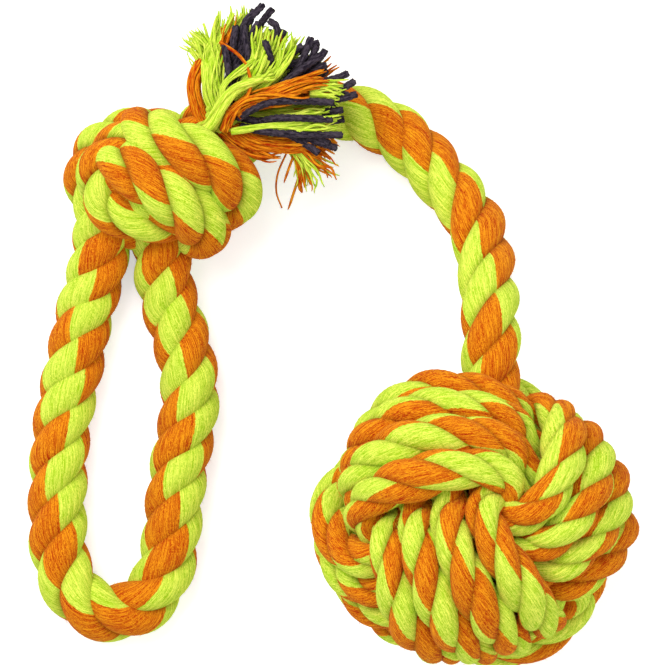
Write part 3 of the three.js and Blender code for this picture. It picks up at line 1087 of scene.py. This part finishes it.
@dataclass(frozen=True)
class Yarns:
    """How the loose yarns of a bunch run.

    Attributes:
        count: How many yarns there are.
        spreads: How far the outer yarns lie from the middle, at the start and at the end.
        shortest_share: The length of the shortest yarn, as a share of the bunch's.
        diameter: The thickness of a yarn.
        wave: How far a yarn wanders from side to side.
        lowest: The height that the yarns don't go below.
        flare_power: How late the bunch spreads.
    """

    count: int
    spreads: tuple[float, float]
    shortest_share: float = 0.8
    diameter: float = 0.00092
    wave: float = 0.0009
    lowest: float = 0.0
    flare_power: float = 1.6

    def lay(self, shell: Shell, line: np.ndarray, seed: int) -> None:
        """Lays the yarns along a line, spreading and with uneven cut ends.

        Args:
            shell: Takes the yarns.
            line: The middle of the bunch.
            seed: Seeds the yarns' wander.
        """
        draw = np.random.default_rng(seed)
        wave_counts, wave_shares, thickness_shares = (0.6, 2.2), (0.3, 1.6), (0.7, 1.15)
        fewest = len(YARN_TAPER_SHARES) + 1
        first, second = carried_frames(line)
        share = np.linspace(0, 1, len(line))
        start, end = self.spreads
        for _ in range(self.count):
            turn = draw.uniform(0, WHOLE_TURN)
            distance = math.sqrt(draw.uniform(0, 1))
            out = math.cos(turn) * first + math.sin(turn) * second
            spread = distance * (start + (end - start) * share**self.flare_power)
            beat = draw.uniform(0, WHOLE_TURN, 2)
            waves = draw.uniform(*wave_counts, 2)
            wander = self.wave * draw.uniform(*wave_shares, 2)
            path = line + out * spread[:, None]
            for side, phase, count, size in zip((first, second), beat, waves, wander):
                path = path + side * (size * share * np.sin(phase + count * WHOLE_TURN * share))[:, None]
            path[:, 2] = np.maximum(path[:, 2], self.lowest)
            keep = max(int(len(line) * draw.uniform(self.shortest_share, 1.0)), fewest)
            radii = np.full(keep, self.diameter / 2 * draw.uniform(*thickness_shares))
            radii[-len(YARN_TAPER_SHARES) :] *= YARN_TAPER_SHARES
            shell.add_yarn(path[:keep], radii, draw.uniform(0, 1))


@dataclass(frozen=True)
class Bunch:
    """A bunch of loose yarns that lies over the tassel's strands.

    Attributes:
        name: The piece's name, which begins with its colour.
        route: The bunch's middle line.
        yarns: How its yarns run.
        bends: Whether it is left out of the tassel's body instead of being attached to it.
    """

    name: str
    route: Route
    yarns: Yarns
    bends: bool = False

    def build(self) -> None:
        """Lays the bunch on the tassel."""
        colour = self.name.split("_")[0]
        shell = Shell()
        line = evenly(rounded_line(self.route), YARN_SPACING)
        self.yarns.lay(shell, line, sum(map(ord, self.name)))
        piece = shell.build(self.name, YARN_FINISHES[colour].material())
        if self.bends:
            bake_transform(piece)
        else:
            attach(piece, "tassel")


BUNCHES = (
    Bunch(
        "orange_side_bunch",
        (
            (-0.0395, 0.0650, 0.0300), (-0.0419, 0.0690, 0.0310), (-0.0438, 0.0748, 0.0310),
            (-0.0442, 0.0795, 0.0305), (-0.0425, 0.0840, 0.0295), (-0.0400, 0.0880, 0.0285),
        ),
        Yarns(50, (0.0024, 0.0028), 0.9, wave=0.0002),
        bends=True,
    ),
    Bunch(
        "lime_upright_bunch",
        (
            (-0.0362, 0.0695, 0.0310), (-0.0388, 0.0765, 0.0320), (-0.0384, 0.0838, 0.0315),
            (-0.0362, 0.0905, 0.0300), (-0.0336, 0.0985, 0.0290), (-0.0318, 0.1040, 0.0285),
        ),
        Yarns(60, (0.0024, 0.0048), 0.62),
        bends=True,
    ),
    Bunch(
        "lime_side_wisps",
        ((-0.0395, 0.0790, 0.0300), (-0.0432, 0.0850, 0.0300), (-0.0452, 0.0915, 0.0290)),
        Yarns(9, (0.0012, 0.0030), 0.6, 0.0007),
    ),
    Bunch(
        "orange_upright_wisps",
        ((-0.0360, 0.0860, 0.0330), (-0.0340, 0.0950, 0.0330), (-0.0322, 0.1040, 0.0320)),
        Yarns(8, (0.0010, 0.0028), 0.6),
    ),
    Bunch(
        "lime_fan",
        (
            (-0.0325, 0.0720, 0.0310), (-0.0262, 0.0800, 0.0300), (-0.0215, 0.0890, 0.0290),
            (-0.0185, 0.0975, 0.0280),
        ),
        Yarns(80, (0.0022, 0.0092), 0.7),
    ),
    Bunch(
        "lime_top_bunch",
        (
            (-0.0305, 0.0735, 0.0345), (-0.0245, 0.0825, 0.0358), (-0.0215, 0.0905, 0.0352),
            (-0.0195, 0.0980, 0.0335),
        ),
        Yarns(44, (0.0018, 0.0062), 0.62),
    ),
    Bunch(
        "lime_top_bunch_right",
        (
            (-0.0275, 0.0745, 0.0345), (-0.0190, 0.0815, 0.0358), (-0.0145, 0.0890, 0.0350),
            (-0.0118, 0.0960, 0.0335),
        ),
        Yarns(30, (0.0018, 0.0042), 0.6),
    ),
    Bunch(
        "lime_fan_right",
        (
            (-0.0300, 0.0710, 0.0300), (-0.0205, 0.0780, 0.0290), (-0.0135, 0.0860, 0.0275),
            (-0.0095, 0.0950, 0.0260),
        ),
        Yarns(46, (0.0022, 0.0058), 0.62),
    ),
    Bunch(
        "orange_upper_bunch",
        (
            (-0.0300, 0.0690, 0.0350), (-0.0225, 0.0742, 0.0372), (-0.0140, 0.0776, 0.0374),
            (-0.0060, 0.0798, 0.0364), (-0.0008, 0.0806, 0.0350),
        ),
        Yarns(42, (0.0018, 0.0044), 0.84),
    ),
    Bunch(
        "orange_curved_bunch",
        (
            (-0.0348, 0.0640, 0.0350), (-0.0322, 0.0700, 0.0370), (-0.0255, 0.0742, 0.0378),
            (-0.0160, 0.0752, 0.0376), (-0.0070, 0.0756, 0.0365),
        ),
        Yarns(14, (0.0014, 0.0046), 0.6),
    ),
    Bunch(
        "lime_branching_yarns",
        (
            (-0.0350, 0.0740, 0.0375), (-0.0343, 0.0784, 0.0380), (-0.0271, 0.0847, 0.0380),
            (-0.0204, 0.0883, 0.0365),
        ),
        Yarns(7, (0.0006, 0.0018), 0.75),
    ),
    Bunch(
        "lime_long_bunch",
        (
            (-0.0322, 0.0637, 0.0350), (-0.0222, 0.0650, 0.0360), (-0.0090, 0.0656, 0.0355),
            (0.0039, 0.0662, 0.0340),
        ),
        Yarns(11, (0.0010, 0.0030), 0.85, 0.0009, 0.0012),
    ),
    Bunch(
        "lime_short_bunch",
        ((-0.0165, 0.0682, 0.0350), (-0.0080, 0.0694, 0.0358), (0.0002, 0.0704, 0.0345)),
        Yarns(10, (0.0008, 0.0020), 0.8),
    ),
    Bunch(
        "orange_base_bunch",
        (
            (-0.0354, 0.0653, 0.0300), (-0.0296, 0.0608, 0.0295), (-0.0226, 0.0576, 0.0288),
            (-0.0152, 0.0566, 0.0280),
        ),
        Yarns(30, (0.0028, 0.0028), 0.8),
        bends=True,
    ),
    Bunch(
        "orange_lower_bunch",
        (
            (-0.0330, 0.0655, 0.0310), (-0.0235, 0.0606, 0.0310), (-0.0140, 0.0596, 0.0305),
            (-0.0060, 0.0618, 0.0295), (0.0010, 0.0640, 0.0285),
        ),
        Yarns(40, (0.0018, 0.0034), 0.7),
        bends=True,
    ),
    Bunch(
        "lime_end_tuft",
        ((-0.0070, 0.0770, 0.0340), (-0.0005, 0.0770, 0.0345), (0.0044, 0.0760, 0.0335)),
        Yarns(54, (0.0034, 0.0056), 0.6),
    ),
    Bunch(
        "lime_hanging_wisps",
        ((-0.0120, 0.0590, 0.0270), (-0.0075, 0.0540, 0.0240), (-0.0040, 0.0480, 0.0190)),
        Yarns(50, (0.0026, 0.0096), 0.45, 0.0008),
    ),
    Bunch(
        "orange_hanging_wisps",
        ((-0.0115, 0.0600, 0.0285), (-0.0055, 0.0555, 0.0260), (0.0015, 0.0515, 0.0220)),
        Yarns(28, (0.0024, 0.0080), 0.45, 0.0008),
    ),
    Bunch(
        "orange_hanging_yarn_left",
        (
            (-0.0163, 0.0400, 0.0110), (-0.0180, 0.0450, 0.0165), (-0.0174, 0.0510, 0.0225),
            (-0.0140, 0.0585, 0.0275),
        ),
        Yarns(1, (0.0, 0.0), 1.0, 0.0008, 0.0),
        bends=True,
    ),
    Bunch(
        "orange_hanging_yarn_right",
        (
            (-0.0095, 0.0560, 0.0270), (-0.0108, 0.0505, 0.0220), (-0.0128, 0.0445, 0.0160),
            (-0.0148, 0.0388, 0.0105),
        ),
        Yarns(2, (0.0003, 0.0006), 0.95, 0.0009, 0.0),
    ),
    Bunch(
        "orange_hanging_yarn_short",
        ((-0.0120, 0.0575, 0.0270), (-0.0141, 0.0519, 0.0235), (-0.0155, 0.0479, 0.0200)),
        Yarns(1, (0.0, 0.0), 1.0, 0.0009, 0.0),
    ),
    Bunch(
        "orange_hanging_yarns",
        ((-0.0115, 0.0590, 0.0275), (-0.0088, 0.0525, 0.0240), (-0.0066, 0.0440, 0.0185)),
        Yarns(10, (0.0018, 0.0034), 0.6, 0.0009, 0.0006),
    ),
    Bunch(
        "orange_crossing_yarn",
        (
            (-0.0358, 0.0925, 0.0345), (-0.0300, 0.0885, 0.0365), (-0.0268, 0.0840, 0.0385),
            (-0.0262, 0.0770, 0.0395), (-0.0300, 0.0700, 0.0385), (-0.0330, 0.0640, 0.0350),
        ),
        Yarns(3, (0.0004, 0.0006), 0.95, 0.0010, 0.0003),
    ),
)

LOOSE_CORDS = (
    (
        (-0.0300, 0.0680, 0.0345), (-0.0262, 0.0703, 0.0372), (-0.0195, 0.0730, 0.0388),
        (-0.0100, 0.0734, 0.0384), (0.0003, 0.0730, 0.0365),
    ),
    (
        (-0.0230, 0.0672, 0.0330), (-0.0168, 0.0681, 0.0368), (-0.0080, 0.0679, 0.0374),
        (-0.0002, 0.0676, 0.0360),
    ),
    (
        (-0.0290, 0.0655, 0.0330), (-0.0231, 0.0640, 0.0362), (-0.0154, 0.0631, 0.0368),
        (-0.0060, 0.0628, 0.0358), (0.0030, 0.0627, 0.0340),
    ),
    ((-0.0120, 0.0622, 0.0300), (-0.0060, 0.0609, 0.0330), (0.0012, 0.0586, 0.0315)),
    ((-0.0060, 0.0790, 0.0320), (0.0021, 0.0811, 0.0345), (0.0048, 0.0824, 0.0340)),
    ((-0.0060, 0.0765, 0.0325), (0.0025, 0.0775, 0.0355), (0.0070, 0.0797, 0.0345)),
    ((-0.0050, 0.0735, 0.0325), (0.0034, 0.0744, 0.0350), (0.0075, 0.0757, 0.0340)),
    ((-0.0060, 0.0700, 0.0310), (0.0008, 0.0704, 0.0335), (0.0030, 0.0708, 0.0330)),
    (
        (-0.0200, 0.0760, 0.0310), (-0.0150, 0.0797, 0.0355), (-0.0082, 0.0847, 0.0355),
        (-0.0028, 0.0887, 0.0335),
    ),
    ((-0.0150, 0.0800, 0.0300), (-0.0101, 0.0856, 0.0338), (-0.0069, 0.0937, 0.0325)),
    ((-0.0120, 0.0800, 0.0290), (-0.0069, 0.0869, 0.0322), (-0.0051, 0.0910, 0.0315)),
    ((-0.0120, 0.0800, 0.0300), (-0.0051, 0.0838, 0.0328), (-0.0022, 0.0851, 0.0320)),
    (
        (-0.0200, 0.0880, 0.0290), (-0.0177, 0.0946, 0.0325), (-0.0181, 0.0977, 0.0330),
        (-0.0201, 0.0990, 0.0322),
    ),
    ((-0.0192, 0.0850, 0.0350), (-0.0207, 0.0902, 0.0392), (-0.0214, 0.0926, 0.0392)),
    (
        (-0.0300, 0.0920, 0.0290), (-0.0276, 0.0990, 0.0325), (-0.0249, 0.1013, 0.0325),
        (-0.0222, 0.1042, 0.0310),
    ),
    ((-0.0280, 0.0780, 0.0310), (-0.0267, 0.0869, 0.0352), (-0.0284, 0.0973, 0.0338)),
    ((-0.0320, 0.0840, 0.0300), (-0.0316, 0.0914, 0.0345), (-0.0307, 0.0973, 0.0335)),
    ((-0.0320, 0.0720, 0.0320), (-0.0325, 0.0793, 0.0358), (-0.0343, 0.0914, 0.0345)),
)


class Strand(Enum):
    """What a strand of the tassel is, by the words that begin its solid's name."""

    ORANGE = "orange_yarn"
    LIME = "lime_yarn"
    CORD = "filler_cord"


@dataclass
class Tassel:
    """The unlaid tail: bunches of yarn and filler cords that fan out of the tail's cut end.

    Attributes:
        root: Where the cut end stands.
        root_diameter: How thick it is.
        seat_gap: From it to where a strand starts.
        lowest_layer: The height of the lowest layer of strands.
        layer_pitch: From one layer to the next.
        first_heading: Which way the first strand of a layer points.
        heading_step: From one strand's heading to the next.
        layer_turn: How far every other layer is turned.
        bend: How far a strand bends sideways.
        bend_shares: The share of the bend in each layer.
        reach: How far the strands reach out of the cut end.
        reach_shares: The share of that reach for each strand.
        plan: What each strand is: orange, lime or dark cord.
        yarns: How a strand's yarns run, down to the throwing rope's top.
        cord_lay: How a filler cord is laid.
        twin_turn: How far a filler cord's twin points away from it.
        twin_share: How long the twin is, against the cord's own reach.
        cut_ends: How many yarn ends show on the cut end.
        cut_end_diameter: How thick each of them is.
        cut_end_lean: How far round a yarn leans from its foot to its head.
        cut_end_step: How much higher some of them stand than others.
        flat_lay: How the unlaid strand's yarns run.
        flat_thicknesses: How thick the unlaid strand is, at the start and at the end.
        flat_route: Its middle line.
        tip: How its yarns run where it comes apart at the end.
        tip_points: How many points of its line, the last ones, give the tip its shape.
        tip_share: How far the tip is moved on along the line, as a share of its length.
    """

    root: tuple[float, float] = (-0.035, 0.0695)
    root_diameter: float = 0.013
    seat_gap: float = 0.00035
    lowest_layer: float = 0.01874
    layer_pitch: float = 0.0035
    first_heading: float = math.radians(-12)
    heading_step: float = math.radians(28)
    layer_turn: float = math.radians(4)
    bend: float = math.radians(12)
    bend_shares: tuple[float, ...] = (-1, 0.5, -0.6, 1, -0.3)
    reach: float = 0.033
    reach_shares: tuple[tuple[float, ...], ...] = (
        (0.9, 1.0, 0.95, 0.8, 0.62),
        (0.96, 1.03, 0.8, 0.9, 0.7),
        (0.98, 1.02, 0.95, 0.92, 0.6),
        (0.92, 0.96, 0.72, 0.6, 0.66),
        (0.86, 0.94, 0.8, 0.74, 0.55),
    )
    plan: tuple[str, ...] = ("OLLLO", "DODLL", "ODDDL", "LDODL", "DODDL")
    yarns: Yarns = Yarns(24, (0.0018, 0.0046), lowest=0.0188)
    cord_lay: RopeLay = RopeLay(
        diameter=0.0025,
        leads=(0.0058,),
        strand_share=0.68,
        sides=10,
        spacing=0.0003,
        edge_swing=0.0,
        fuzz_per_ring=0.0,
    )
    twin_turn: float = math.radians(8)
    twin_share: float = 0.92
    cut_ends: int = 110
    cut_end_diameter: float = 0.0018
    cut_end_lean: float = 1.0
    cut_end_step: float = 0.0010
    flat_lay: RopeLay = RopeLay(
        diameter=0.0056, leads=(0.09,), strand_share=0.66, sides=16, edge_swing=0.0
    )
    flat_thicknesses: tuple[float, float] = (0.0056, 0.0030)
    flat_route: Route = (
        (-0.0425, 0.0640, 0.0320), (-0.0388, 0.0658, 0.0362), (-0.0347, 0.0725, 0.0392),
        (-0.0302, 0.0775, 0.0400), (-0.0222, 0.0806, 0.0390),
    )
    tip: Yarns = Yarns(22, (0.0010, 0.0028))
    tip_points: int = 6
    tip_share: float = 0.9

    def strand_line(
        self, layer: int, place: int, turn: float = 0.0, length_share: float = 1.0
    ) -> np.ndarray:
        """Finds the middle line of one strand.

        Args:
            layer: Its layer, from the floor up.
            place: Its place in the layer, from the right round to the left.
            turn: How much further round it points than the layout says.
            length_share: How much of its reach it has.

        Returns:
            The points of the line, from inside the cut end out.
        """
        inner_share, points = -0.2, 30
        share = np.linspace(inner_share, length_share, points)
        reach = self.root_diameter / 2 + self.seat_gap
        reach = reach + self.reach * self.reach_shares[layer][place] * share
        heading = self.first_heading + place * self.heading_step + (layer % 2) * self.layer_turn
        swung = np.clip(share, 0, 1) ** 2
        turned = heading + self.bend * self.bend_shares[layer] * swung + turn * np.sqrt(swung)
        height = np.full(points, self.lowest_layer + layer * self.layer_pitch)
        x, y = self.root
        return np.column_stack([x + reach * np.cos(turned), y + reach * np.sin(turned), height])

    def cord(self, shell: Shell, line: np.ndarray) -> None:
        """Adds a twisted filler cord with a blunt cut end to a shell, along a line."""
        same = (0.0,) * self.cord_lay.strands
        self.cord_lay.run(shell, evenly(line, self.cord_lay.spacing), 0.0, same)

    def strands(self) -> None:
        """Builds each strand that has a solid: a bunch of yarns, or a filler cord and its twin."""
        kinds = {"O": Strand.ORANGE, "L": Strand.LIME, "D": Strand.CORD}
        finishes = {Strand.ORANGE: ORANGE_YARN, Strand.LIME: LIME_YARN, Strand.CORD: DARK_CORD}
        layer_seed = 10
        for layer, row in enumerate(self.plan):
            for place, letter in enumerate(row):
                kind = kinds[letter]
                shell = Shell()
                line = self.strand_line(layer, place)
                if kind is Strand.CORD:
                    turn = self.twin_turn if (layer + place) % 2 else -self.twin_turn
                    self.cord(shell, line)
                    self.cord(shell, self.strand_line(layer, place, turn, self.twin_share))
                else:
                    self.yarns.lay(shell, evenly(line, YARN_SPACING), layer_seed * layer + place)
                node = f"{kind.value}_{layer + 1}_{place + 1}"
                piece = shell.build(f"{node}_strand", finishes[kind].material())
                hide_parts(node)
                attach(piece, "tassel")

    def cut_end(self) -> None:
        """Builds the tail's cut end, where its strands part."""
        shell = Shell()
        seed, points = 3, 12
        draw = np.random.default_rng(seed)
        share = np.linspace(0, 1, points)[:, None]
        radii = np.full(points, self.cut_end_diameter / 2)
        low = self.lowest_layer - self.cut_end_diameter / 2
        top = self.lowest_layer + (len(self.plan) - 1) * self.layer_pitch
        x, y = self.root
        for _ in range(self.cut_ends):
            turn = draw.uniform(0, WHOLE_TURN)
            radius = (self.root_diameter - self.cut_end_diameter) / 2 * math.sqrt(draw.uniform(0, 1))
            high = top + draw.uniform(0, self.cut_end_step)
            leant = turn + self.cut_end_lean
            foot = np.array([x + radius * math.cos(turn), y + radius * math.sin(turn), low])
            head = np.array([x + radius * math.cos(leant), y + radius * math.sin(leant), high])
            shell.add_yarn(foot + (head - foot) * share, radii, draw.uniform(0, 1))
        piece = shell.build("tail_cut_end", LIME_YARN.material())
        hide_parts("tassel_root")
        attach(piece, "tassel")

    def unlaid_strand(self) -> None:
        """Builds the lime strand that lies untwisted over the tassel."""
        tip_seed = 8
        spacing = self.flat_lay.spacing
        line = evenly(rounded_line(self.flat_route), spacing)
        shell = Shell()
        thickness = np.linspace(*self.flat_thicknesses, len(line))
        same = (0.0,) * self.flat_lay.strands
        self.flat_lay.run(shell, line, 0.0, same, thickness)
        end = line[-self.tip_points :]
        self.tip.lay(shell, evenly(end + (end[-1] - end[0]) * self.tip_share, spacing), tip_seed)
        piece = shell.build("lime_unlaid_strand", LIME_YARN.material())
        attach(piece, "tassel")

    def loose_cords(self) -> None:
        """Builds the filler cords that lie loose over the strands."""
        shell = Shell()
        for route in LOOSE_CORDS:
            self.cord(shell, rounded_line(route))
        piece = shell.build("loose_filler_cords", DARK_CORD.material())
        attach(piece, "tassel")

    def build(self) -> None:
        """Builds the strands, the cut end, and the loose cords and bunches over them."""
        self.strands()
        self.cut_end()
        self.unlaid_strand()
        self.loose_cords()
        for bunch in BUNCHES:
            bunch.build()


def main() -> None:
    """Builds the studio and each part of the toy."""
    logging.basicConfig(level=logging.INFO, format="%(message)s")
    Studio().build()
    HandLoop().build()
    ThrowRope().build()
    MonkeysFist().build()
    Knot().build()
    Tassel().build()


if __name__ == "__main__":
    main()
